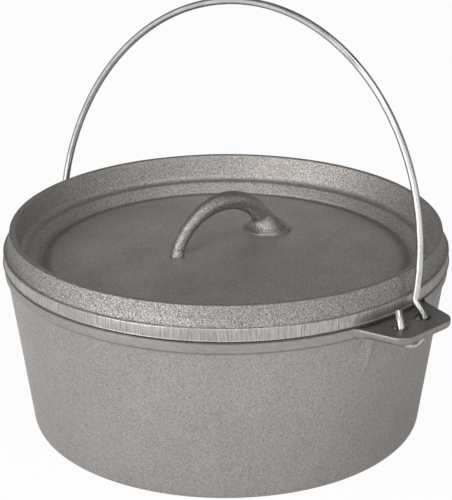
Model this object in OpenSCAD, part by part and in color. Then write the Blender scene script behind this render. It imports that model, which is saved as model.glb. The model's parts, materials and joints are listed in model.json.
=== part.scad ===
// Camp dutch oven: a cast pot with two pierced ears, a dished lid with a horn handle, and a wire bail.
// Millimetres. The origin is the middle of the pot's underside, +Z is up, and the ears lie along X.

/* [Pot] */
// Height of the pot to the top of its rim
pot_h = 124; // [100:1:160]
// Outer diameter of the rim band
rim_d = 316; // [260:1:360]
// How much narrower the wall is at the ground than under the rim band, on the diameter
wall_taper = 31; // [10:1:50]
// Height of the rim band
band_h = 9.5; // [8:0.5:14]
// How far the rim band stands proud of the wall
band_proud = 1.8; // [0.6:0.2:3]
// Thickness of the rim at its top
rim_t = 6; // [5:0.5:9]
// Thickness of the wall
wall = 5; // [3:0.5:7]
// Thickness of the floor
floor_t = 6; // [4:0.5:10]
// Outer radius of the bottom corner
base_round = 6; // [2:0.5:12]
// Inner radius of the bottom corner
floor_round = 6; // [4:1:16]

/* [Ears] */
// How far the ears reach past the rim band
ear_reach = 31; // [27:0.5:40]
// Width of an ear across its two corners
ear_w = 56; // [50:1:70]
// Thickness of an ear
ear_t = 6.5; // [5:0.5:8]
// How far the ears lie below the top of the rim
ear_drop = 1.2; // [0.6:0.1:1.5]
// Radius of an ear's outer corners
ear_corner = 11; // [6:0.5:14]
// Angle at which an ear's sides open towards the pot
ear_splay = 14; // [4:1:25]
// Radius of the fillet between an ear and the rim
ear_fillet = 9; // [5:0.5:14]
// Distance from the rim band to the middle of the ear holes
hole_out = 14.7; // [13:0.1:17]
// Distance between the two holes of an ear
hole_pitch = 23.2; // [21:0.2:26]
// How much wider the ear holes are than the bail wire
hole_play = 5.8; // [4.8:0.1:7]
// Distance from the middle of an ear to each of the two ribs under it
rib_out = 21; // [16:0.5:24]
// How far a rib swells out of the wall under the ear
rib_swell = 7; // [5:0.5:9]
// Height of a rib
rib_h = 36; // [20:1:60]

/* [Lid] */
// How far the lid overhangs the rim band
lid_overhang = 2; // [1:0.5:4]
// Height of the ground band at the lid's edge
ground_h = 9.4; // [8:0.2:12]
// Height of the lid's upstanding rim above its seat
lid_rim_h = 23.4; // [20:0.2:32]
// How far the lid's rim stands inside the ground band
lid_rim_in = 6.4; // [4:0.2:10]
// Thickness of the lid's rim at its top
lid_rim_t = 4; // [3:0.5:6]
// How much the tray narrows from the lid's rim down to its shoulder
tray_draft = 2.6; // [1:0.2:5]
// Width of the stepped shoulder between the rim and the plate
shoulder_w = 16; // [10:1:24]
// Height of the shoulder above the seat, where it leaves the rim
shoulder_h = 2.4; // [1:0.2:4]
// How far the shoulder falls to the edge of the plate
shoulder_fall = 4.7; // [3:0.1:7]
// How far the plate rises from its edge to its middle
plate_crown = 12.1; // [8:0.1:14]
// Thickness of the plate
plate_t = 5.2; // [4:0.2:7]
// Gap between the lid's spigot and the pot's mouth
spigot_play = 2; // [1.5:0.5:4]
// Angle above level at which the lid is taken off, under the bail
lift_angle = 45; // [40:1:50]

/* [Lid handle] */
// Radius of the arc that the horn follows
horn_r = 45.2; // [38:0.1:55]
// How far the middle of that arc lies below the top of the plate
horn_sink = 15.8; // [10:0.1:18]
// How far the arc lies off the middle of the lid, towards the thin foot
horn_off = 3; // [0:0.5:8]
// Thickness of the horn at its thin foot
horn_thin = 9; // [7:0.5:11]
// Thickness of the horn at its neck, above the flared foot
horn_thick = 13.5; // [11:0.5:18]
// Diameter of the flared foot
flare_d = 35; // [26:1:42]
// Height of the flared foot
flare_h = 12; // [8:0.5:14]
// Direction of the handle, from the ear axis
handle_turn = 86; // [60:1:120]

/* [Bail] */
// Thickness of the bail wire
wire_d = 5; // [4:0.1:6]
// Gap between the bail's legs and the edge of the lid
bail_gap = 3.5; // [3.5:0.5:8]
// How far the hoop sits off the middle along its span, as bent
hoop_shift = -2.5; // [-2.5:0.5:2.5]
// Height of the hoop's middle above the pivot
hoop_rise = 17; // [15:0.5:30]
// Angle by which the bail leans when its hooks stop it
bail_lean = 12; // [6:1:18]
// Angle of the hooks, which run outward as they go down
hook_tilt = 8; // [0:1:12]
// How far the hooks pass outside the middle of the holes
hook_out = 1.5; // [0.5:0.1:1.8]
// Length of the cut end that stands up above the pivot
stub_h = 11.5; // [10:0.5:18]
// Angle by which the cut end leans in over the ear
stub_tilt = 34; // [16:1:40]
// Bend radius of the wire at its middle line
bend_r = 5; // [4:0.5:6]

/* [Hidden] */
$fn = 96;
over = 1;

// Pot
rim_r = rim_d / 2;
mouth_r = rim_r - rim_t;
band_z = pot_h - band_h;
wall_top_r = rim_r - band_proud;
base_r = wall_top_r - wall_taper / 2;
wall_angle = atan((wall_top_r - base_r) / band_z);
inner_base_r = base_r - wall / cos(wall_angle);
rim_edge = 0.8;
arc_steps = 6;

// Ears, in the plan of the ear that points along +X
ear_x = rim_r + ear_reach;
ear_top = pot_h - ear_drop;
ear_mid = ear_top - ear_t / 2;
hole_x = rim_r + hole_out;
hole_d = wire_d + hole_play;
corner_mid = [ear_x - ear_corner, ear_w / 2 - ear_corner];
side_along = [-cos(ear_splay), sin(ear_splay)];
side_out = [sin(ear_splay), cos(ear_splay)];
side_start = corner_mid + ear_corner * side_out;
fillet_start = side_start + ear_fillet * side_out;
fillet_run = fillet_start * side_along;
fillet_reach = rim_r + ear_fillet;
fillet_travel = -fillet_run - sqrt(pow(fillet_run, 2) - fillet_start * fillet_start + pow(fillet_reach, 2));
fillet_mid = fillet_start + fillet_travel * side_along;
fillet_on_side = fillet_mid - ear_fillet * side_out;
fillet_on_rim = fillet_mid * rim_r / fillet_reach;
rib_turn = asin(rib_out / rim_r);
rib_tip = 0.6;

// Lid, with heights above the seat on the pot's rim
lid_r = rim_r + lid_overhang;
lid_edge = 0.7;
lid_rim_r = lid_r - lid_rim_in;
tray_top_r = lid_rim_r - lid_rim_t;
tray_r = tray_top_r - tray_draft;
plate_r = tray_r - shoulder_w;
plate_z = shoulder_h - shoulder_fall;
rim_round = 1.4;
crease_in = 1.6;
crease_up = 0.3;
cove_out = 1.2;
cove_up = 6;
cove_hollow = [0.8, 0.4];
cove_low = [lid_r - crease_in, ground_h + crease_up];
cove_high = [lid_rim_r + cove_out, ground_h + cove_up];
heel = [[0.7, 5.8], [-0.4, 3], [-2.4, 1.5]];
step_edge = [-5.5, 1];
step_foot = [[-7.4, -2], [-10, -3.5]];
spigot_r = mouth_r - spigot_play;
spigot_deep = 1.2;
spigot_h = plate_t - shoulder_h + spigot_deep;
plate_steps = 12;
plate_top = pot_h + plate_z + plate_crown;

// Horn handle
seam = 0.05;
arc_rings = 30;
horn_sides = 24;
horn_z = plate_top - horn_sink;
full_share = 0.7;
thin_h = 4;
thin_fillet = 0.6;
foot_core = 1;
foot_lip = 1.2;
flare_hollow = 1.5;
horn_from = 180 - asin((horn_sink + thin_h) / horn_r);
horn_to = asin((horn_sink + flare_h) / horn_r);

// Bail, with its pivot at the origin and the hoop upright
wire_r = wire_d / 2;
stop_gap = 0.3;
bail_r = lid_r + bail_gap + wire_r;
hook_x = hole_x + hook_out;
hook_up = [-sin(hook_tilt), 0, cos(hook_tilt)];
stub_up = [-sin(stub_tilt), 0, cos(stub_tilt)];
knee_h = 2.5;
hole_used = hook_out + ear_t / 2 * tan(hook_tilt);
hole_room = sqrt(pow(hole_play / 2 - stop_gap, 2) - pow(hole_used, 2));
lean_loss = ear_t / 2 * sin(bail_lean) + wire_r * (1 - cos(bail_lean));
hook_half = (hole_pitch / 2 + hole_room) * cos(bail_lean) - lean_loss;
hoop_turn = asin(hook_half / bail_r);
leg_drop = 3;
entry_h = 6.5;
hoop_steps = 48;
hook_steps = 16;
wire_sides = 16;

// Points of an arc from one angle to another
function arc(mid, radius, from, to, steps) =
    [for (i = [0:steps]) let (a = from + (to - from) * i / steps) mid + radius * [cos(a), sin(a)]];

// Radius of the wall at a height, outside and inside
function wall_r(z) = base_r + z * tan(wall_angle);
function inner_r(z) = inner_base_r + z * tan(wall_angle);

// Middle of a round corner between a level floor and the leaning wall
function corner_at(r0, floor_z, radius) =
    [r0 + (floor_z + radius) * tan(wall_angle) - radius / cos(wall_angle), floor_z + radius];

// Height of the plate's upper face above the seat
function plate_at(r) = plate_z + plate_crown * (1 - pow(r / plate_r, 2));

module pot_outside() {
    rotate_extrude()
        polygon(concat(
            [[0, 0]],
            arc(corner_at(base_r, 0, base_round), base_round, -90, -wall_angle, arc_steps),
            [[wall_top_r, band_z], [rim_r, band_z + band_proud], [rim_r, pot_h - rim_edge],
             [rim_r - rim_edge, pot_h], [0, pot_h]]));
}

module pot_cavity() {
    rotate_extrude()
        polygon(concat(
            [[0, floor_t]],
            arc(corner_at(inner_base_r, floor_t, floor_round), floor_round, -90, -wall_angle, arc_steps),
            [[inner_r(band_z), band_z], [mouth_r, pot_h], [mouth_r, pot_h + over], [0, pot_h + over]]));
}

module half_ear_outline() {
    difference() {
        union() {
            polygon([[mouth_r + over, 0], [ear_x, 0], [ear_x, corner_mid[1]], side_start, fillet_on_side,
                     fillet_on_rim, fillet_on_rim * (mouth_r + over) / rim_r]);
            translate(corner_mid) circle(r = ear_corner);
        }
        translate(fillet_mid) circle(r = ear_fillet);
    }
}

module ear() {
    translate([0, 0, ear_top - ear_t])
        linear_extrude(ear_t) {
            half_ear_outline();
            mirror([0, 1]) half_ear_outline();
        }
    for (side = [-1, 1]) rotate([0, 0, side * rib_turn]) ear_rib();
}

// A half cone on the wall that carries one end of an ear
module ear_rib() {
    low = ear_mid - rib_h;
    translate([wall_r(low), 0, low])
        rotate([0, wall_angle, 0])
            cylinder(h = rib_h / cos(wall_angle), r1 = rib_tip, r2 = rib_swell);
}

module ear_holes() {
    for (side = [-1, 1])
        translate([hole_x, side * hole_pitch / 2, ear_top - ear_t - over])
            cylinder(h = ear_t + 2 * over, d = hole_d);
}

module pot() {
    color("dimgray")
        difference() {
            union() {
                pot_outside();
                for (turn = [0, 180]) rotate([0, 0, turn]) ear();
            }
            pot_cavity();
            for (turn = [0, 180]) rotate([0, 0, turn]) ear_holes();
        }
}

// The lid's section as one closed outline, from the seat round the outside and back under the plate
module lid_section() {
    polygon(concat(
        [[spigot_r, 0], [lid_r - lid_edge, 0], [lid_r, lid_edge], [lid_r, ground_h - lid_edge],
         [lid_r - lid_edge, ground_h], cove_low, (cove_low + cove_high) / 2 - cove_hollow, cove_high],
        arc([lid_rim_r - rim_round, lid_rim_h - rim_round], rim_round, 0, 90, arc_steps),
        arc([tray_top_r + rim_round, lid_rim_h - rim_round], rim_round, 90, 180, arc_steps),
        [for (step = concat(heel, [step_edge], step_foot)) [tray_r, shoulder_h] + step],
        [for (i = [0:plate_steps]) let (r = plate_r * (1 - i / plate_steps)) [r, plate_at(r)]],
        [for (i = [0:plate_steps]) let (r = plate_r * i / plate_steps) [r, plate_at(r) - plate_t]],
        [[spigot_r - spigot_h / tan(lift_angle), -spigot_h]]));
}

module lid() {
    color("gray")
        translate([0, 0, pot_h])
            rotate_extrude() lid_section();
}

// Thickness of the horn at a share of its length from the thin foot, full from full_share on
function horn_at(share) =
    let (grown = min(share / full_share, 1))
    horn_thin + (horn_thick - horn_thin) * pow(grown, 2) * (3 - 2 * grown);

// One ring of points round the horn's arc, which lies in the XZ plane
function horn_ring(angle, d) =
    [for (i = [0:horn_sides - 1])
        let (a = 360 * i / horn_sides, out = horn_r + d / 2 * cos(a))
            [out * cos(angle), d / 2 * sin(a), out * sin(angle)]];

// One ring of a foot that stands foot_h tall, at height h above the plate; side is -1 for the thin foot
function foot_ring(side, foot_h, h, d) =
    let (angle = asin((horn_sink + h) / horn_r), tilt = angle * h / foot_h)
    [for (i = [0:horn_sides - 1])
        let (a = 360 * i / horn_sides,
             x = side * (horn_r * cos(angle) + d / 2 * cos(a) * cos(tilt)),
             y = d / 2 * sin(a),
             plate = pot_h + plate_at(norm([x - horn_off, y])) - horn_z + seam)
            [x, y, plate + h + d / 2 * cos(a) * sin(tilt)]];

// A foot from the plate up into the horn: its closed underside, an upright lip, then a slightly hollow cone
function foot_rings(side, foot_h, neck_d, foot_d) =
    concat(
        [for (d = [foot_core, foot_d]) foot_ring(side, foot_h, 0, d)],
        [for (i = [0:arc_steps - 1])
            let (risen = i / arc_steps, spread = pow(1 - risen, flare_hollow))
            foot_ring(side, foot_h, foot_lip + (foot_h - foot_lip) * risen, neck_d + (foot_d - neck_d) * spread)]);

function reversed(list) = [for (i = [len(list) - 1:-1:0]) list[i]];

// A closed solid through rings of points
module tube(points, rings, sides) {
    walls = [for (ring = [0:rings - 2], i = [0:sides - 1], half = [0, 1])
        let (j = (i + 1) % sides, low = ring * sides, high = low + sides)
            half == 0 ? [low + i, high + j, low + j] : [low + i, high + i, high + j]];
    tip = (rings - 1) * sides;
    ends = [for (i = [1:sides - 2], end = [0, 1])
        end == 0 ? [0, i, i + 1] : [tip, tip + i + 1, tip + i]];
    polyhedron(points, concat(walls, ends));
}

// The horn: its thin foot, its arc and its flared foot, each foot closed on the plate
module horn() {
    rings = concat(
        foot_rings(-1, thin_h, horn_thin, horn_thin + 2 * thin_fillet),
        [for (i = [0:arc_rings]) let (share = i / arc_rings)
            horn_ring(horn_from + (horn_to - horn_from) * share, horn_at(share))],
        reversed(foot_rings(1, flare_h, horn_thick, flare_d)));
    tube([for (ring = rings) each ring], len(rings), horn_sides);
}

module lid_handle() {
    color("dimgray")
        rotate([0, 0, handle_turn])
            translate([-horn_off, 0, horn_z]) horn();
}

function unit(v) = v / norm(v);

// Points of a bend at corner b of the route a, b, c
function bend(a, b, c) =
    let (back = unit(a - b),
         on = unit(c - b),
         half = acos(back * on) / 2,
         mid = b + unit(back + on) * bend_r / sin(half),
         out = unit(b + back * bend_r / tan(half) - mid))
    [for (i = [0:arc_steps]) let (turn = (180 - 2 * half) * i / arc_steps)
        mid + bend_r * (out * cos(turn) - back * sin(turn))];

// Route of one end of the bail: its leg, the crank out to the ear, the hook under the ear and the cut end
function bail_end(shift) =
    let (leg = [shift + bail_r * cos(hoop_turn), hook_half, hoop_rise],
         crank = leg - [0, 0, leg_drop],
         hook = [hook_x, hook_half, 0],
         entry = hook + entry_h * hook_up,
         rise = [hook_x, -hook_half, 0],
         knee = rise + knee_h * hook_up,
         tip = knee + (stub_h - knee_h) * stub_up)
    concat(
        bend(leg, crank, entry),
        bend(crank, entry, hook),
        [for (i = [0:hook_steps]) let (a = 180 * i / hook_steps)
            [hook_x, 0, 0] + hook_half * [0, cos(a), 0] - hook_half * sin(a) * hook_up],
        bend(rise, knee, tip),
        [tip]);

// Route of the hoop, from the leg at -X over the top to the leg at +X
function hoop() =
    [for (i = [0:hoop_steps]) let (a = 180 - 180 * i / hoop_steps)
        [hoop_shift, 0, hoop_rise]
            + bail_r * [cos(a) * cos(hoop_turn), cos(a) * sin(hoop_turn), sin(a)]];

function turned(route) = [for (p = reversed(route)) [-p[0], -p[1], p[2]]];

// Directions along a route, and across it with as little twist as can be
function along(route) =
    let (last = len(route) - 1)
    [for (i = [0:last]) unit(route[min(i + 1, last)] - route[max(i - 1, 0)])];
function across(ways) =
    [for (i = 0, side = unit(cross(ways[0], [1, 0, 0]));
          i < len(ways);
          i = i + 1, side = i < len(ways) ? unit(side - (side * ways[i]) * ways[i]) : side) side];

// A round wire along a route
module wire(route) {
    ways = along(route);
    sides = across(ways);
    last = len(route) - 1;
    points = [for (i = [0:last], k = [0:wire_sides - 1])
        let (a = 360 * k / wire_sides)
            route[i] + wire_r * (cos(a) * sides[i] + sin(a) * cross(ways[i], sides[i]))];
    tube(points, last + 1, wire_sides);
}

module bail() {
    color("gainsboro")
        translate([0, 0, ear_mid])
            rotate([-bail_lean, 0, 0])
                wire(concat(turned(bail_end(-hoop_shift)), hoop(), bail_end(hoop_shift)));
}

pot();
lid();
lid_handle();
bail();
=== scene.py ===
"""Camp dutch oven: a cast iron pot, its dished lid with a horn handle, and a bail of bright wire."""

import json
import math

import bpy
from mathutils import Matrix, Vector, noise


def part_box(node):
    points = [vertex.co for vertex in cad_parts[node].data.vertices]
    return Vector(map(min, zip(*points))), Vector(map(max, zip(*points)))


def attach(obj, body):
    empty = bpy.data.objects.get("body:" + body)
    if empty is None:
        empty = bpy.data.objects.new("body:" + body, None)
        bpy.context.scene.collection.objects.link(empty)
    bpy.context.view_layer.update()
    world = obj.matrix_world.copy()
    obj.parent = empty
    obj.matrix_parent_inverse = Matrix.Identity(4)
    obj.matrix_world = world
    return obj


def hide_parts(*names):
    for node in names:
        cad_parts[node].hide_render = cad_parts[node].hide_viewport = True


MM = 0.001

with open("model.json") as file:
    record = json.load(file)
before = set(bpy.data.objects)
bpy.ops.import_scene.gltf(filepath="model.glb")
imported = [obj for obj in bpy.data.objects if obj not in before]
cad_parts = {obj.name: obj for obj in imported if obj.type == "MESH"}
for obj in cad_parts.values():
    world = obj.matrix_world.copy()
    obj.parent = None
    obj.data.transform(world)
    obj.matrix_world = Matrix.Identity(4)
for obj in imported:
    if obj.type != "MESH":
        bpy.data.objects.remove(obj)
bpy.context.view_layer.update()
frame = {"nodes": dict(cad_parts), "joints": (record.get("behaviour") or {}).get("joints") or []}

# Sizes in millimetres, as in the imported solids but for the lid's step and edges and the bail's cut end
POT_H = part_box("pot")[1].z / MM
RIM_R = 158
RIM_T = 6
BAND_H = 9.5
BAND_PROUD = 1.8
WALL = 5
WALL_TAPER = 15.5
FLOOR_T = 6
BASE_ROUND = 6
FLOOR_ROUND = 6
BAND_FOOT_ROUND = 2.0
BAND_EDGE_ROUND = 1.5
RIM_ROUND = 2.0
MOUTH_ROUND = 1.2
NECK_ROUND = 8
EAR_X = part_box("pot")[1].x / MM
EAR_TOP = POT_H - 1.2

LID_R = 160
SEAT_R = RIM_R - 3
SEAT_RELIEF = 0.9
SEAT_EDGE_ROUND = 0.7
GROUND_H = 9.4
GROUND_LEAN = 1.5
GROUND_ROUND = 1.2
FLANGE_FOOT = (LID_R - 3.1, GROUND_H + 0.3, 1.6)
LID_RIM_H = 23.4
LID_RIM_R = 153.6
LID_RIM_ROUND = 1.1
FLANGE_HOLLOW = (LID_RIM_R + 1.6, GROUND_H + 4.6, 5)
TRAY_TOP_R = 149.6
TRAY_TOP_ROUND = 1.4
TRAY_FOOT = (145.9, 4.9, 5)
LEDGE_EDGE = (139.9, 4.7, 2.5)
STEP_EDGE = (134.3, -0.8, 0.6)
STEP_FOOT = (133.1, -2.7, 1.6)
PLATE_EDGE = 132
PLATE_R = 131
PLATE_Z = -2.3
PLATE_CROWN = 12.1
PLATE_T = 5.2
SPIGOT_R = 150
SPIGOT_H = 4
SPIGOT_ROUND = 1.0

HORN_R = 45.2
HORN_SINK = 15.8
HORN_OFF = 3
HORN_THIN = 9
HORN_THICK = 13.5
HORN_FULL = 0.7
HORN_ROOT = -0.4
THIN_FOOT_H = 4
THIN_FOOT_D = 10.2
FOOT_CORE_D = 1
FLARE_D = 35
FLARE_H = 12
FLARE_LIP = 1.2
LIP_SOFT = 0.35
FLARE_HOLLOW = 1.5
HANDLE_TURN = math.radians(86)

WIRE_D = 5
HOOP_R = 166
HOOP_SHIFT = -2.5
HOOP_RISE = 17
BAIL_LEAN = math.radians(12)
HOOK_TILT = math.radians(8)
HOOK_X = RIM_R + 16.2
HOOK_HALF = 12.29
CRANK_DROP = 3
ENTRY_H = 6.5
STUB_H = 12.3
STUB_TILT = math.radians(25)
KNEE_H = 0.8
BEND_R = 5
CUT_CHAMFER = 0.35

# How finely the forms are drawn
RING_STEPS = 288
WALL_STEP = 5
FILLET_STEP = math.radians(11)
DOME_STEPS = 24
HORN_SIDES = 56
HORN_STEPS = 90
FOOT_STEPS = 14
WIRE_SIDES = 28
HOOP_STEPS = 220
BEND_STEPS = 14
HOOK_STEPS = 40

# Swells of the castings and the wire, as depth and size in millimetres
POT_SWELL = (0.15, 45)
LID_SWELL = (0.12, 40)
HORN_SWELLS = ((0.18, 9), (0.08, 2.2))
WIRE_SWELL = (0.05, 11)


# Shapes


def smooth_step(low, high, value):
    """0 below low and 1 above high, with a soft rise between."""
    share = min(max((value - low) / (high - low), 0), 1)
    return share * share * (3 - 2 * share)


def rounded(corners):
    """The outline through corners (r, z, fillet), each corner turned by an arc of its fillet."""
    points = []
    for i, (r, z, fillet) in enumerate(corners):
        at = Vector((r, z))
        if fillet == 0 or i in (0, len(corners) - 1):
            points.append(at)
            continue
        back = (Vector(corners[i - 1][:2]) - at).normalized()
        on = (Vector(corners[i + 1][:2]) - at).normalized()
        half = back.angle(on) / 2
        mid = at + (back + on).normalized() * fillet / math.sin(half)
        start = at + back * fillet / math.tan(half) - mid
        turn = math.pi - 2 * half
        if start.x * on.y - start.y * on.x < 0:
            turn = -turn
        steps = max(2, math.ceil(abs(turn) / FILLET_STEP))
        for k in range(steps + 1):
            points.append(mid + Matrix.Rotation(turn * k / steps, 2) @ start)
    return points


def divided(outline):
    """The outline with its long straights cut into steps of at most WALL_STEP."""
    points = [outline[0]]
    for start, end in zip(outline, outline[1:]):
        steps = max(1, math.ceil((end - start).length / WALL_STEP))
        points += [start.lerp(end, k / steps) for k in range(1, steps + 1)]
    return points


def mesh_object(name, points, faces, materials, slots):
    """A smooth mesh from points in millimetres, with one material number for each face."""
    mesh = bpy.data.meshes.new(name)
    mesh.from_pydata([Vector(p) * MM for p in points], [], faces)
    for material in materials:
        mesh.materials.append(material)
    mesh.polygons.foreach_set("material_index", slots)
    mesh.polygons.foreach_set("use_smooth", [True] * len(faces))
    mesh.validate()
    made = bpy.data.objects.new(name, mesh)
    bpy.context.scene.collection.objects.link(made)
    return made


def revolve(name, spans, base_z=0):
    """A turned form from spans (material, outline), where each outline starts where the last one ended."""
    outline = []
    strips = []
    for number, (_, points) in enumerate(spans):
        outline += points if not outline else points[1:]
        strips += [number] * (len(points) - 1)
    points, rings, faces, slots = [], [], [], []
    for r, z in outline:
        if r < MM:
            rings.append([len(points)] * RING_STEPS)
            points.append((0, 0, z + base_z))
            continue
        rings.append(list(range(len(points), len(points) + RING_STEPS)))
        for k in range(RING_STEPS):
            a = 2 * math.pi * k / RING_STEPS
            points.append((r * math.cos(a), r * math.sin(a), z + base_z))
    for low, high, slot in zip(rings, rings[1:], strips):
        for k in range(RING_STEPS):
            j = (k + 1) % RING_STEPS
            faces.append(list(dict.fromkeys([low[k], low[j], high[j], high[k]])))
            slots.append(slot)
    return mesh_object(name, points, faces, [material for material, _ in spans], slots)


def tube(name, rings, material):
    """A closed form through rings of points."""
    sides = len(rings[0])
    points = [p for ring in rings for p in ring]
    faces = [list(range(sides))[::-1]]
    for low in range(0, len(points) - sides, sides):
        for k in range(sides):
            j = (k + 1) % sides
            faces.append([low + k, low + j, low + sides + j, low + sides + k])
    faces.append(list(range(len(points) - sides, len(points))))
    return mesh_object(name, points, faces, [material], [0] * len(faces))


def applied(piece, kind, **settings):
    """Gives a piece the mesh that one modifier makes of it."""
    modifier = piece.modifiers.new(kind, kind)
    for key, value in settings.items():
        setattr(modifier, key, value)
    shown = piece.evaluated_get(bpy.context.evaluated_depsgraph_get())
    mesh = bpy.data.meshes.new_from_object(shown)
    piece.modifiers.clear()
    piece.data = mesh


def uneven(piece, depth, size):
    """Small swells of a sand casting: depth and size in millimetres."""
    mesh = piece.data
    moved = []
    for vertex, normal in zip(mesh.vertices, mesh.vertex_normals):
        swell = noise.noise(vertex.co / (size * MM))
        moved.extend(vertex.co + normal.vector * swell * depth * MM)
    mesh.vertices.foreach_set("co", moved)
    mesh.update()


# Materials


class Nodes:
    """A material's node tree, with short calls for its nodes."""

    def __init__(self, name):
        self.material = bpy.data.materials.new(name)
        self.material.use_nodes = True
        self.tree = self.material.node_tree
        self.shader = self.tree.nodes["Principled BSDF"]
        self.place = self.add("ShaderNodeTexCoord").outputs["Object"]

    def add(self, kind, **settings):
        node = self.tree.nodes.new(kind)
        for key, value in settings.items():
            setattr(node, key, value)
        return node

    def link(self, source, target):
        self.tree.links.new(source, target)

    def stretched(self, x, y, z):
        """Object coordinates in units of x, y and z millimetres."""
        node = self.add("ShaderNodeMapping")
        node.inputs["Scale"].default_value = (1 / (x * MM), 1 / (y * MM), 1 / (z * MM))
        self.link(self.place, node.inputs["Vector"])
        return node.outputs["Vector"]

    def noise(self, size, detail=3.0, roughness=0.55, stretch=(1, 1, 1)):
        """Noise with features of about this many millimetres."""
        node = self.add("ShaderNodeTexNoise")
        node.inputs["Scale"].default_value = 1
        node.inputs["Detail"].default_value = detail
        node.inputs["Roughness"].default_value = roughness
        self.link(self.stretched(*(size * s for s in stretch)), node.inputs["Vector"])
        return node.outputs["Fac"]

    def spread(self, value, low, high, to_low, to_high):
        """A value's range from low to high mapped to another range."""
        node = self.add("ShaderNodeMapRange")
        for key, number in zip(("From Min", "From Max", "To Min", "To Max"), (low, high, to_low, to_high)):
            node.inputs[key].default_value = number
        self.link(value, node.inputs["Value"])
        return node.outputs["Result"]

    def ring_shade(self, radius, half_width, share):
        """1 away from a ring about the Z axis, falling softly to a share on it; sizes in millimetres."""
        level = self.add("ShaderNodeVectorMath", operation="MULTIPLY")
        level.inputs[1].default_value = (1, 1, 0)
        self.link(self.place, level.inputs[0])
        length = self.add("ShaderNodeVectorMath", operation="LENGTH")
        self.link(level.outputs["Vector"], length.inputs[0])
        off = self.add("ShaderNodeMath", operation="SUBTRACT")
        off.inputs[1].default_value = radius * MM
        self.link(length.outputs["Value"], off.inputs[0])
        away = self.add("ShaderNodeMath", operation="ABSOLUTE")
        self.link(off.outputs[0], away.inputs[0])
        soft = self.spread(away.outputs[0], 0, half_width * MM, share, 1)
        soft.node.interpolation_type = "SMOOTHSTEP"
        return soft

    def spot_shade(self, at, reach, share):
        """1 beyond reach from a point, falling softly to a share at the point; sizes in millimetres."""
        off = self.add("ShaderNodeVectorMath", operation="DISTANCE")
        off.inputs[1].default_value = [c * MM for c in at]
        self.link(self.place, off.inputs[0])
        soft = self.spread(off.outputs["Value"], 0, reach * MM, share, 1)
        soft.node.interpolation_type = "SMOOTHSTEP"
        return soft

    def product(self, a, b):
        node = self.add("ShaderNodeMath", operation="MULTIPLY")
        self.link(a, node.inputs[0])
        self.link(b, node.inputs[1])
        return node.outputs[0]

    def tint(self, shade, colour):
        """The colour, lightened and darkened by a shade about 1."""
        node = self.add("ShaderNodeVectorMath", operation="SCALE")
        node.inputs[0].default_value = colour
        self.link(shade, node.inputs["Scale"])
        self.link(node.outputs["Vector"], self.shader.inputs["Base Color"])

    def bump(self, height, depth):
        """A surface raised by depth millimetres where height is 1."""
        node = self.add("ShaderNodeBump")
        node.inputs["Strength"].default_value = 1
        node.inputs["Distance"].default_value = depth * MM
        self.link(height, node.inputs["Height"])
        self.link(node.outputs["Normal"], self.shader.inputs["Normal"])


NOISE_RANGE = (0.3, 0.7)
IRON_METALLIC = 0.9
GRAIN_ROUGHNESS = 0.65
CLOUD_SIZE = 38
GLOSS_SPREAD = 0.08


def cast_iron(name, colour, grain, depth, speckle, roughness, stretch=(1, 1, 1), valley=None, stain=0.04):
    """Sand-cast iron: grain in millimetres, its depth, and how far it lightens and darkens the colour.

    A valley (radius, half width, share) is a ring of painted shade that darkens the iron to that share.
    A stain is how far wide clouds lighten and darken the colour.
    """
    iron = Nodes(name)
    grains = iron.noise(grain, roughness=GRAIN_ROUGHNESS, stretch=stretch)
    clouds = iron.noise(CLOUD_SIZE)
    shade = iron.product(
        iron.spread(grains, *NOISE_RANGE, 1 - speckle, 1 + speckle),
        iron.spread(clouds, *NOISE_RANGE, 1 - stain, 1 + stain),
    )
    # Painted shade: a soft dark ring over the colour.
    if valley:
        shade = iron.product(shade, iron.ring_shade(*valley))
    iron.tint(shade, colour)
    rough = iron.spread(grains, *NOISE_RANGE, roughness + GLOSS_SPREAD, roughness - GLOSS_SPREAD)
    iron.link(rough, iron.shader.inputs["Roughness"])
    iron.bump(grains, depth)
    iron.shader.inputs["Metallic"].default_value = IRON_METALLIC
    return iron.material


WARM = Vector((1.06, 1.0, 0.955))
# Painted shade: a dark ring in the hollow at the foot of the lid's step, where the plate meets it.
VALLEY_SHADE = (129.5, 7, 0.6)
# Painted light: the pot's wall is lighter than the lid's flange and handle, though all are the same iron.
wall_iron = cast_iron("pot_wall_iron", WARM * 0.385, grain=1.2, depth=0.4, speckle=0.28, roughness=0.5)
rim_iron = cast_iron(
    "rim_iron", WARM * 0.34, grain=0.9, depth=0.15, speckle=0.15, roughness=0.45, stretch=(6, 6, 1)
)
# Painted shade: the pot's rim top and its edges under the lid get a much darker colour, for the shade in
# the gap under the lid.
seat_iron = cast_iron("seat_iron", WARM * 0.16, grain=0.9, depth=0.15, speckle=0.2, roughness=0.5)
inside_iron = cast_iron("pot_inside_iron", WARM * 0.24, grain=1.6, depth=0.3, speckle=0.2, roughness=0.55)
flange_iron = cast_iron("flange_iron", WARM * 0.32, grain=0.95, depth=0.5, speckle=0.75, roughness=0.4)
# Painted light: the inside of the lid's rim is lighter than its outside, though both are the same iron.
tray_iron = cast_iron(
    "tray_iron", WARM * 0.39, grain=1.15, depth=0.5, speckle=0.5, roughness=0.45, valley=VALLEY_SHADE
)
# Painted light: the plate is much lighter than the rest of the lid, though it is the same iron.
plate_iron = cast_iron(
    "plate_iron", WARM * 0.5, grain=1.5, depth=0.3, speckle=0.25, roughness=0.45, valley=VALLEY_SHADE, stain=0.12
)
ground_iron = cast_iron(
    "ground_iron", WARM * 0.42, grain=0.9, depth=0.12, speckle=0.4, roughness=0.38, stretch=(1, 1, 14)
)
handle_iron = cast_iron("handle_iron", WARM * 0.32, grain=1.1, depth=0.45, speckle=0.5, roughness=0.29)
# Painted shade: the ears get a darker colour than the wall they are cast with.
ear_iron = cast_iron("ear_iron", WARM * 0.28, grain=1.2, depth=0.15, speckle=0.12, roughness=0.38)

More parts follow.
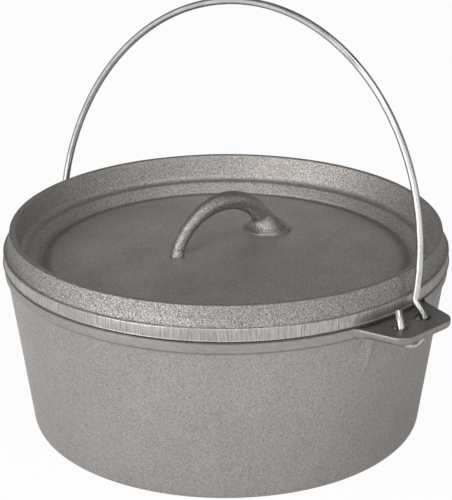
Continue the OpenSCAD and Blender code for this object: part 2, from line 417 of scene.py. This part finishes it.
STEEL = Vector((0.62, 0.62, 0.61))
STEEL_EDGE = (0.45, 0.45, 0.45, 1)
# Painted shade on the wire: the places near the ears where it is darkened, how far and how much.
WIRE_SHADE_AT = ((HOOK_X, HOOK_HALF, EAR_TOP), (-HOOK_X, -HOOK_HALF, EAR_TOP))
WIRE_SHADE_REACH = 16
WIRE_SHADE_SHARE = 0.4
STREAK_SIZE = 0.8
STREAK_ROUGHNESS = 0.6
STREAK_DEPTH = 0.04
STREAK_SHADES = (0.8, 1.1)
WIRE_CLOUD_SIZE = 14
WIRE_CLOUD_SHADES = (0.85, 1.1)
WIRE_ROUGHNESS = (0.22, 0.36)


def drawn_wire():
    """Bright drawn wire, with painted shade where it enters the ears."""
    wire = Nodes("bright_wire")
    streaks = wire.noise(STREAK_SIZE, roughness=STREAK_ROUGHNESS)
    clouds = wire.noise(WIRE_CLOUD_SIZE, detail=2.0)
    shade = wire.product(
        wire.spread(streaks, *NOISE_RANGE, *STREAK_SHADES),
        wire.spread(clouds, *NOISE_RANGE, *WIRE_CLOUD_SHADES),
    )
    # Painted shade: darker wire round each entry into an ear.
    for entry in WIRE_SHADE_AT:
        shade = wire.product(shade, wire.spot_shade(entry, WIRE_SHADE_REACH, WIRE_SHADE_SHARE))
    wire.tint(shade, STEEL)
    wire.link(wire.spread(clouds, *NOISE_RANGE, *WIRE_ROUGHNESS), wire.shader.inputs["Roughness"])
    wire.bump(streaks, STREAK_DEPTH)
    wire.shader.inputs["Metallic"].default_value = 1.0
    wire.shader.inputs["Specular Tint"].default_value = STEEL_EDGE
    return wire.material


wire_steel = drawn_wire()


# Pot

wall_top_r = RIM_R - BAND_PROUD
base_r = wall_top_r - WALL_TAPER
band_z = POT_H - BAND_H
wall_lean = math.atan(WALL_TAPER / band_z)
inner_base_r = base_r - WALL / math.cos(wall_lean)
band_foot_z = band_z + BAND_PROUD
# How far the painted shade of seat_iron reaches down the rim's outside and into the mouth.
SEAT_DROP = 1.5
MOUTH_DROP = 2


def outer_r(z):
    """Outer radius of the pot at a height."""
    if z < band_z:
        return base_r + z * math.tan(wall_lean)
    return wall_top_r + BAND_PROUD * min((z - band_z) / (band_foot_z - band_z), 1)


def pot_body():
    """The pot without its ears, from the middle of its underside round to the middle of its floor."""
    outline = divided(rounded([
        (0, 0, 0),
        (base_r, 0, BASE_ROUND),
        (wall_top_r, band_z, BAND_FOOT_ROUND),
        (RIM_R, band_foot_z, BAND_EDGE_ROUND),
        (RIM_R, POT_H, RIM_ROUND),
        (RIM_R - RIM_T, POT_H, MOUTH_ROUND),
        (inner_base_r + band_z * math.tan(wall_lean), band_z, NECK_ROUND),
        (inner_base_r + FLOOR_T * math.tan(wall_lean), FLOOR_T, FLOOR_ROUND),
        (0, FLOOR_T, 0),
    ]))
    heights = [p.y for p in outline]
    crown = heights.index(max(heights))
    band_from = min(range(crown), key=lambda i: abs(heights[i] - band_z))
    seat_from = max(i for i in range(crown) if heights[i] < POT_H - SEAT_DROP)
    mouth_to = next(i for i in range(crown, len(outline)) if heights[i] < POT_H - MOUTH_DROP)
    return revolve("pot_casting", [
        (wall_iron, outline[:band_from + 1]),
        (rim_iron, outline[band_from:seat_from + 1]),
        (seat_iron, outline[seat_from:mouth_to + 1]),
        (inside_iron, outline[mouth_to:]),
    ])


EAR_CUT_X = (128, EAR_X + 5)
EAR_CUT_Y = 62
EAR_CUT_Z = (70, POT_H + 5)
EAR_VOXEL = 0.7
WELD = 0.01
EAR_SOFTENING = 8
SOFTENING_SHARE = 0.5
EAR_SINK = 0.5
SINK_FADE = (0.1, 1.5)
ROOT_DEPTH = 2.5
ROOT_FREE = (46, 54)
ROOT_HIDDEN = 1.5
ROOT_FADE = (1, 3)
EAR_W = 56
EAR_T = 6.5
EAR_CORNER = 11
EAR_SPLAY = math.radians(14)
EAR_BOTTOM = EAR_TOP - EAR_T
EAR_EDGE = 3.4
EDGE_FADE = (RIM_R, RIM_R + 6)
EDGE_LOW = -1
EAR_BLEND = 0.6


def inside_ear(x, y):
    """How far a place lies inside the ear's outline, and the way out to the nearest edge."""
    at = Vector((x, abs(y)))
    mid = Vector((EAR_X - EAR_CORNER, EAR_W / 2 - EAR_CORNER))
    end_out = Vector((1, 0))
    side_out = Vector((math.sin(EAR_SPLAY), math.cos(EAR_SPLAY)))
    off = at - mid
    if off.dot(end_out) > 0 and off.dot(side_out) > 0:
        return EAR_CORNER - off.length, off.normalized()
    out = max((end_out, side_out), key=off.dot)
    return EAR_CORNER - off.dot(out), out


def ear_edge(x, y, z):
    """A place on the ear after its lower edge is rounded."""
    within, out = inside_ear(x, y)
    over = z - EAR_BOTTOM
    gap = Vector((EAR_EDGE - within, EAR_EDGE - over))
    if min(gap) <= 0 or gap.length <= EAR_EDGE or x < RIM_R or over < EDGE_LOW:
        return x, y, z
    share = smooth_step(*EDGE_FADE, x)
    move = gap * (1 - EAR_EDGE / gap.length) * share
    return x - out.x * move.x, y - math.copysign(out.y * move.x, y), z + move.y


def ear(side):
    """One ear with its ribs, from the pot's solid, softened as a casting is; its root lies in the wall."""
    near, far = EAR_CUT_X
    low, high = EAR_CUT_Z
    across = (-EAR_CUT_Y, EAR_CUT_Y)
    corners = [(side * x, y, z) for x in (near, far) for y in across for z in (low, high)]
    sides = [(0, 1, 3, 2), (4, 6, 7, 5), (0, 4, 5, 1), (2, 3, 7, 6), (0, 2, 6, 4), (1, 5, 7, 3)]
    if side < 0:
        sides = [s[::-1] for s in sides]
    block = mesh_object("ear_cut", corners, sides, [], [0] * len(sides))
    piece = bpy.data.objects.new("ear", frame["nodes"]["pot"].data.copy())
    bpy.context.scene.collection.objects.link(piece)
    applied(piece, "WELD", merge_threshold=WELD * MM)
    applied(piece, "BOOLEAN", operation="INTERSECT", solver="EXACT", object=block)
    bpy.data.objects.remove(block)
    applied(piece, "REMESH", mode="VOXEL", voxel_size=EAR_VOXEL * MM)
    applied(piece, "SMOOTH", factor=SOFTENING_SHARE, iterations=EAR_SOFTENING)
    for vertex in piece.data.vertices:
        x, y, z = vertex.co / MM
        z = min(z, EAR_TOP)
        x, y, z = ear_edge(side * x, y, z)
        x *= side
        r = math.hypot(x, y)
        proud = max(r - outer_r(z), -ROOT_DEPTH)
        proud -= EAR_SINK * (1 - smooth_step(*SINK_FADE, proud))
        proud -= ROOT_HIDDEN * smooth_step(*ROOT_FREE, abs(y)) * (1 - smooth_step(*ROOT_FADE, proud))
        scale = (outer_r(z) + proud) / r
        vertex.co = Vector((x * scale, y * scale, z)) * MM
    piece.data.materials.clear()
    for iron in (wall_iron, ear_iron):
        piece.data.materials.append(iron)
    # The ear's upper part takes ear_iron, which is painted shade: darker than the wall's iron.
    for face in piece.data.polygons:
        face.material_index = int(face.center.z > (EAR_BOTTOM - EAR_BLEND) * MM)
    return piece


pot = pot_body()
uneven(pot, *POT_SWELL)
for side in (1, -1):
    lug = ear(side)
    applied(pot, "BOOLEAN", operation="UNION", solver="EXACT", material_mode="TRANSFER", object=lug)
    bpy.data.objects.remove(lug)
pot.data.polygons.foreach_set("use_smooth", [True] * len(pot.data.polygons))
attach(pot, "pot")
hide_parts("pot")


# Lid

GROUND_IN = 2
VALLEY_IN = 0.5


def plate_at(r):
    """Height of the lid plate's upper face above the seat."""
    return PLATE_Z + PLATE_CROWN * (1 - (r / PLATE_R) ** 2)


def lid_body():
    """The lid from its seat over the rim and the plate to the middle, and back under it to the spigot."""
    radii = [PLATE_EDGE * i / DOME_STEPS for i in range(DOME_STEPS + 1)]
    edge_r = radii[-2]
    top = rounded([
        (SPIGOT_R, 0, 0),
        (SEAT_R, 0, 0),
        (SEAT_R + SEAT_RELIEF, SEAT_RELIEF, 0),
        (LID_R, SEAT_RELIEF, SEAT_EDGE_ROUND),
        (LID_R - GROUND_LEAN, GROUND_H, GROUND_ROUND),
        FLANGE_FOOT,
        FLANGE_HOLLOW,
        (LID_RIM_R, LID_RIM_H, LID_RIM_ROUND),
        (TRAY_TOP_R, LID_RIM_H, TRAY_TOP_ROUND),
        TRAY_FOOT,
        LEDGE_EDGE,
        STEP_EDGE,
        STEP_FOOT,
        (edge_r, plate_at(edge_r), 0),
    ])
    dome = [Vector((r, plate_at(r))) for r in radii[:-1][::-1]]
    under = [Vector((r, plate_at(r) - PLATE_T)) for r in radii]
    spigot = rounded([(*under[-1], 0), (SPIGOT_R - SPIGOT_H, -SPIGOT_H, SPIGOT_ROUND), (SPIGOT_R, 0, 0)])
    ground_to = max(i for i, p in enumerate(top) if p.x > LID_R - GROUND_IN)
    crown = max(range(len(top)), key=lambda i: top[i].y)
    valley = max(i for i, p in enumerate(top) if p.x > STEP_FOOT[0] - VALLEY_IN)
    return revolve("lid_casting", [
        (ground_iron, top[:ground_to + 1]),
        (flange_iron, top[ground_to:crown + 1]),
        (tray_iron, top[crown:valley + 1]),
        (plate_iron, top[valley:-1] + dome),
        (inside_iron, [dome[-1]] + under + spigot[1:]),
    ], POT_H)


lid = lid_body()
uneven(lid, *LID_SWELL)
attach(lid, "lid")
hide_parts("lid")


# Lid handle

horn_z = POT_H + PLATE_Z + PLATE_CROWN - HORN_SINK


def horn_ring(angle, d):
    """A ring round the horn's arc, which lies in the XZ plane."""
    ring = []
    for k in range(HORN_SIDES):
        a = 2 * math.pi * k / HORN_SIDES
        out = HORN_R + d / 2 * math.cos(a)
        ring.append(Vector((out * math.cos(angle), d / 2 * math.sin(a), out * math.sin(angle))))
    return ring


def foot_ring(side, foot_h, h, d):
    """A ring of a foot that is foot_h tall, at height h above the plate; side is -1 for the thin foot."""
    angle = math.asin((HORN_SINK + max(h, 0)) / HORN_R)
    tilt = angle * max(h, 0) / foot_h
    ring = []
    for k in range(HORN_SIDES):
        across = d / 2 * math.cos(2 * math.pi * k / HORN_SIDES)
        x = side * (HORN_R * math.cos(angle) + across * math.cos(tilt))
        y = d / 2 * math.sin(2 * math.pi * k / HORN_SIDES)
        plate = POT_H + plate_at(math.hypot(x - HORN_OFF, y)) - horn_z
        ring.append(Vector((x, y, plate + h + across * math.sin(tilt))))
    return ring


def foot_rings(side, foot_h, neck_d, foot_d):
    """A foot from the plate up into the horn: its underside, a lip with a soft edge, a hollow cone."""
    soft = FLARE_LIP * LIP_SOFT
    rings = [
        foot_ring(side, foot_h, HORN_ROOT, FOOT_CORE_D),
        foot_ring(side, foot_h, HORN_ROOT, foot_d),
        foot_ring(side, foot_h, FLARE_LIP - soft, foot_d),
    ]
    for i in range(FOOT_STEPS):
        risen = i / FOOT_STEPS
        spread = (1 - risen) ** FLARE_HOLLOW
        lip_in = 2 * soft if i == 0 and foot_d > 2 * neck_d else 0
        d = neck_d + (foot_d - neck_d) * spread - lip_in
        rings.append(foot_ring(side, foot_h, FLARE_LIP + (foot_h - FLARE_LIP) * risen, d))
    return rings


def handle_body():
    """The horn from its thin foot over the arc to its flared foot."""
    start = math.pi - math.asin((HORN_SINK + THIN_FOOT_H) / HORN_R)
    end = math.asin((HORN_SINK + FLARE_H) / HORN_R)
    rings = foot_rings(-1, THIN_FOOT_H, HORN_THIN, THIN_FOOT_D)
    for i in range(HORN_STEPS + 1):
        share = i / HORN_STEPS
        d = HORN_THIN + (HORN_THICK - HORN_THIN) * smooth_step(0, HORN_FULL, share)
        rings.append(horn_ring(start + (end - start) * share, d))
    rings += foot_rings(1, FLARE_H, HORN_THICK, FLARE_D)[::-1]
    place = Matrix.Rotation(HANDLE_TURN, 4, "Z") @ Matrix.Translation((-HORN_OFF, 0, horn_z))
    return tube("horn_handle", [[place @ p for p in ring] for ring in rings], handle_iron)


handle = handle_body()
for swell in HORN_SWELLS:
    uneven(handle, *swell)
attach(handle, "lid")
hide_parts("lid_handle")


# Bail

swing = next(joint for joint in frame["joints"] if joint["name"] == "bail_swing")
PIVOT = Vector(swing["pos_m"]) / MM


def bend(a, b, c):
    """Points of a bend at corner b of the route a, b, c."""
    back = (a - b).normalized()
    on = (c - b).normalized()
    half = back.angle(on) / 2
    mid = b + (back + on).normalized() * BEND_R / math.sin(half)
    out = (b + back * BEND_R / math.tan(half) - mid).normalized()
    turn = math.pi - 2 * half
    angles = [turn * i / BEND_STEPS for i in range(BEND_STEPS + 1)]
    return [mid + BEND_R * (out * math.cos(t) - back * math.sin(t)) for t in angles]


def bail_end(shift):
    """One end of the bail: its leg, the crank out to the ear, the hook under the ear and the cut end."""
    turn = math.asin(HOOK_HALF / HOOP_R)
    up = Vector((-math.sin(HOOK_TILT), 0, math.cos(HOOK_TILT)))
    leg = Vector((shift + HOOP_R * math.cos(turn), HOOK_HALF, HOOP_RISE))
    crank = leg - Vector((0, 0, CRANK_DROP))
    hook = Vector((HOOK_X, HOOK_HALF, 0))
    entry = hook + ENTRY_H * up
    route = bend(leg, crank, entry) + bend(crank, entry, hook)
    for i in range(HOOK_STEPS + 1):
        a = math.pi * i / HOOK_STEPS
        route.append(Vector((HOOK_X, HOOK_HALF * math.cos(a), 0)) - HOOK_HALF * math.sin(a) * up)
    rise = Vector((HOOK_X, -HOOK_HALF, 0))
    knee = rise + KNEE_H * up
    tip = knee + (STUB_H - KNEE_H) * Vector((-math.sin(STUB_TILT), 0, math.cos(STUB_TILT)))
    return route + bend(rise, knee, tip) + [tip]


def bail_route():
    """The middle line of the whole wire, leaning as the bail does at rest."""
    turn = math.asin(HOOK_HALF / HOOP_R)
    hoop = []
    for i in range(1, HOOP_STEPS):
        a = math.pi * (1 - i / HOOP_STEPS)
        out = HOOP_R * math.cos(a)
        rise = HOOP_RISE + HOOP_R * math.sin(a)
        hoop.append(Vector((HOOP_SHIFT + out * math.cos(turn), out * math.sin(turn), rise)))
    far = [Vector((-p.x, -p.y, p.z)) for p in reversed(bail_end(-HOOP_SHIFT))]
    route = far + hoop + bail_end(HOOP_SHIFT)
    lean = Matrix.Rotation(-BAIL_LEAN, 3, "X")
    return [PIVOT + lean @ p for p in route]


def wire_body(route):
    """Round wire along a route, cut flat at both ends with the burr taken off."""
    last = len(route) - 1
    ways = [(route[min(i + 1, last)] - route[max(i - 1, 0)]).normalized() for i in range(last + 1)]
    side = ways[0].cross(Vector((1, 0, 0))).normalized()
    rings = []
    for i, (at, way) in enumerate(zip(route, ways)):
        side = (side - side.dot(way) * way).normalized()
        other = way.cross(side)
        cuts = [(0, 1)]
        if i == 0:
            cuts = [(0, 1 - 2 * CUT_CHAMFER / WIRE_D), (CUT_CHAMFER, 1)]
        if i == last:
            cuts = [(-CUT_CHAMFER, 1), (0, 1 - 2 * CUT_CHAMFER / WIRE_D)]
        for along, share in cuts:
            radius = WIRE_D / 2 * share
            ring = []
            for k in range(WIRE_SIDES):
                a = 2 * math.pi * k / WIRE_SIDES
                ring.append(at + way * along + radius * (math.cos(a) * side + math.sin(a) * other))
            rings.append(ring)
    return tube("bail_wire", rings, wire_steel)


bail = wire_body(bail_route())
uneven(bail, *WIRE_SWELL)
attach(bail, "bail")
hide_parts("bail")


# Camera and light

PHOTO_LONG = 500
SENSOR = 36
FOCAL_PX = 1797
CAMERA_AZIMUTH = 45.5
CAMERA_ELEVATION = 21.36
CAMERA_DISTANCE = 1.29
CAMERA_ROLL = math.radians(0.2)
AIM = Vector((0, 0, 0.1255))


def direction(azimuth, elevation):
    """The way out to a camera or a lamp, from degrees round and degrees up."""
    turn = math.radians(azimuth)
    rise = math.radians(elevation)
    level = math.cos(rise)
    return Vector((math.sin(turn) * level, -math.cos(turn) * level, math.sin(rise)))


def look(thing, away):
    """Places a camera or a lamp at AIM + away, looking at AIM."""
    thing.location = AIM + away
    thing.rotation_mode = "QUATERNION"
    thing.rotation_quaternion = (-away).to_track_quat("-Z", "Y")
    bpy.context.scene.collection.objects.link(thing)


camera = bpy.data.objects.new("camera", bpy.data.cameras.new("camera"))
camera.data.lens = FOCAL_PX / PHOTO_LONG * SENSOR
camera.data.sensor_width = SENSOR
look(camera, direction(CAMERA_AZIMUTH, CAMERA_ELEVATION) * CAMERA_DISTANCE)
camera.rotation_quaternion @= Matrix.Rotation(-CAMERA_ROLL, 3, "Z").to_quaternion()
bpy.context.scene.camera = camera


def softbox(name, azimuth, elevation, distance, size, power):
    """A square lamp that looks at AIM: angles in degrees, distance and size in metres, power in watts."""
    lamp = bpy.data.lights.new(name, "AREA")
    lamp.size = size
    lamp.energy = power
    box = bpy.data.objects.new(name, lamp)
    look(box, direction(azimuth, elevation) * distance)


softbox("key_softbox", azimuth=1, elevation=16, distance=2.2, size=1.0, power=18)
softbox("fill_softbox", azimuth=70, elevation=30, distance=2.4, size=1.2, power=4)
softbox("top_softbox", azimuth=45, elevation=66, distance=1.6, size=1.0, power=7)


def soft_range(tree, value, low_high, to_low_high):
    """A value's range mapped softly to another range."""
    node = tree.nodes.new("ShaderNodeMapRange")
    node.interpolation_type = "SMOOTHSTEP"
    keys = ("From Min", "From Max", "To Min", "To Max")
    for key, number in zip(keys, (*low_high, *to_low_high)):
        node.inputs[key].default_value = number
    tree.links.new(value, node.inputs["Value"])
    return node.outputs["Result"]


def joined(tree, operation, a, b):
    """One number from two."""
    node = tree.nodes.new("ShaderNodeMath")
    node.operation = operation
    tree.links.new(a, node.inputs[0])
    tree.links.new(b, node.inputs[1])
    return node.outputs[0]


def measured(tree, operation, vector, other):
    """The number that a vector gives with a fixed one, such as their distance."""
    node = tree.nodes.new("ShaderNodeVectorMath")
    node.operation = operation
    node.inputs[1].default_value = other
    tree.links.new(vector, node.inputs[0])
    return node.outputs["Value"]


def seen_directly(tree):
    """1 for rays that show a surface to the camera, straight or by reflection."""
    path = tree.nodes.new("ShaderNodeLightPath")
    seen = path.outputs["Is Camera Ray"]
    for kind in ("Is Glossy Ray", "Is Transmission Ray"):
        seen = joined(tree, "MAXIMUM", seen, path.outputs[kind])
    return seen


def white_to_camera(tree, light):
    """A light level that is white where the camera sees it straight."""
    path = tree.nodes.new("ShaderNodeLightPath")
    return joined(tree, "MAXIMUM", light, path.outputs["Is Camera Ray"])


ROOM_LIGHT = 0.3
FRONT_AZIMUTH = 36
FRONT_RANGE = (-0.25, 0.15)
BACK_SHARE = 0.33
CEILING_RANGE = (0.25, 0.8)
CEILING_SHARE = 0.4


def white_world():
    """A room that is white in front, dimmer behind and overhead, and white all round to the camera."""
    world = bpy.data.worlds.new("white_room")
    bpy.context.scene.world = world
    world.use_nodes = True
    tree = world.node_tree
    way = tree.nodes.new("ShaderNodeTexCoord").outputs["Generated"]
    front = measured(tree, "DOT_PRODUCT", way, direction(FRONT_AZIMUTH, 0))
    height = measured(tree, "DOT_PRODUCT", way, (0, 0, 1))
    room = joined(
        tree, "MULTIPLY",
        soft_range(tree, front, FRONT_RANGE, (BACK_SHARE, 1)),
        soft_range(tree, height, CEILING_RANGE, (1, CEILING_SHARE)),
    )
    lit = joined(tree, "MULTIPLY", room, soft_range(tree, seen_directly(tree), (0, 1), (ROOM_LIGHT, 1)))
    background = tree.nodes["Background"]
    background.inputs["Color"].default_value = (1, 1, 1, 1)
    tree.links.new(white_to_camera(tree, lit), background.inputs["Strength"])


white_world()

FLOOR_SIZE = 8
FLOOR_DROP = 0.0002
FLOOR_WHITE = 0.96
FLOOR_COLOUR = (0.85, 0.85, 0.85, 1)
FLOOR_ROUGHNESS = 0.9
# Painted shadow of the pot in the floor's glow as reflections see it: a spot behind the pot and a ring
# round its foot.
SHADE_AZIMUTH = 140
SHADE_DISTANCE = 0.2
SHADE_REACH = (0.06, 0.3)
SHADE_SHARE = 0.6
FOOT_REACH = (0.13, 0.28)
FOOT_SHARE = 0.8
FLOOR_RANGE = (-0.4, 0)


def floor_light(tree):
    """How light the floor's glow looks: white to the camera; in reflections, painted shadow behind and
    round the object, and dimmer towards the back.
    """
    place = tree.nodes.new("ShaderNodeTexCoord").outputs["Object"]
    behind = measured(tree, "DISTANCE", place, direction(SHADE_AZIMUTH, 0) * SHADE_DISTANCE)
    middle = measured(tree, "DISTANCE", place, (0, 0, 0))
    front = measured(tree, "DOT_PRODUCT", place, direction(FRONT_AZIMUTH, 0))
    shade = joined(
        tree, "MULTIPLY",
        soft_range(tree, behind, SHADE_REACH, (SHADE_SHARE, 1)),
        soft_range(tree, middle, FOOT_REACH, (FOOT_SHARE, 1)),
    )
    shade = joined(tree, "MULTIPLY", shade, soft_range(tree, front, FLOOR_RANGE, (BACK_SHARE, 1)))
    return white_to_camera(tree, shade)


def white_floor():
    """A white floor that keeps a little of the object's shadow."""
    material = bpy.data.materials.new("white_floor")
    material.use_nodes = True
    tree = material.node_tree
    shader = tree.nodes["Principled BSDF"]
    shader.inputs["Base Color"].default_value = FLOOR_COLOUR
    shader.inputs["Roughness"].default_value = FLOOR_ROUGHNESS
    glow = tree.nodes.new("ShaderNodeEmission")
    mix = tree.nodes.new("ShaderNodeMixShader")
    tree.links.new(soft_range(tree, seen_directly(tree), (0, 1), (0, FLOOR_WHITE)), mix.inputs["Fac"])
    tree.links.new(floor_light(tree), glow.inputs["Strength"])
    tree.links.new(shader.outputs[0], mix.inputs[1])
    tree.links.new(glow.outputs[0], mix.inputs[2])
    tree.links.new(mix.outputs[0], tree.nodes["Material Output"].inputs["Surface"])
    half = FLOOR_SIZE / MM / 2
    level = -FLOOR_DROP / MM
    corners = [(-half, -half, level), (half, -half, level), (half, half, level), (-half, half, level)]
    floor = mesh_object("floor", corners, [[0, 1, 2, 3]], [material], [0])


white_floor()

bpy.context.scene.view_settings.view_transform = "Standard"
